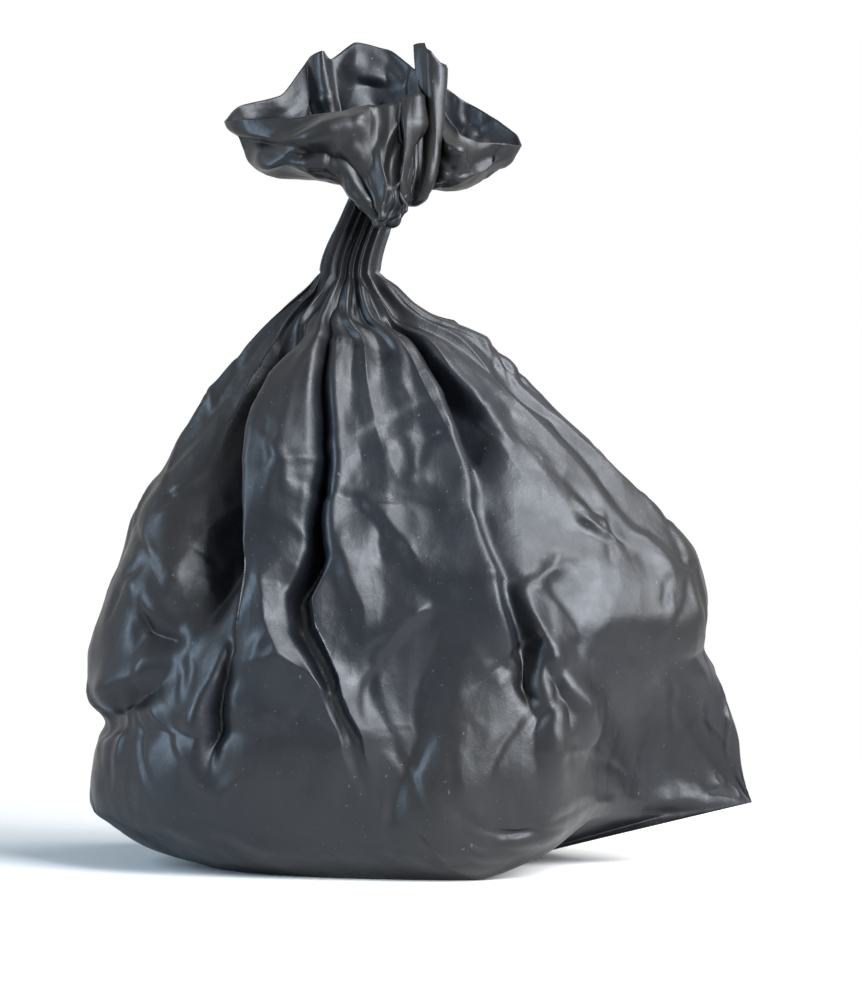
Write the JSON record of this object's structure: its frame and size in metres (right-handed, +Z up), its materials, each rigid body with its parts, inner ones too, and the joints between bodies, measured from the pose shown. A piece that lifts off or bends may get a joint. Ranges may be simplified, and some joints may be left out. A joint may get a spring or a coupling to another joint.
{
  "type": "full bin bag",
  "caption": "Filled plastic bin bag standing on its base, neck gathered, mouth flared open in a ruffle, one loose lower corner.",
  "frame": {"origin": "middle of the bounding box in X and Y, on the floor that the bag stands on", "axes": "+Z up from the base through the gathered neck; the front, with the deep pleat, faces -Y; the loose lower corner points to +X"},
  "size_m": [0.4338, 0.2702, 0.5372],
  "materials": {
    "dark_film": "thin dark grey to black polythene film with a soft gloss, creased and slightly dusty"
  },
  "bodies": {
    "root": {"bin_bag": "dark_film"}
  },
  "joints": []
}
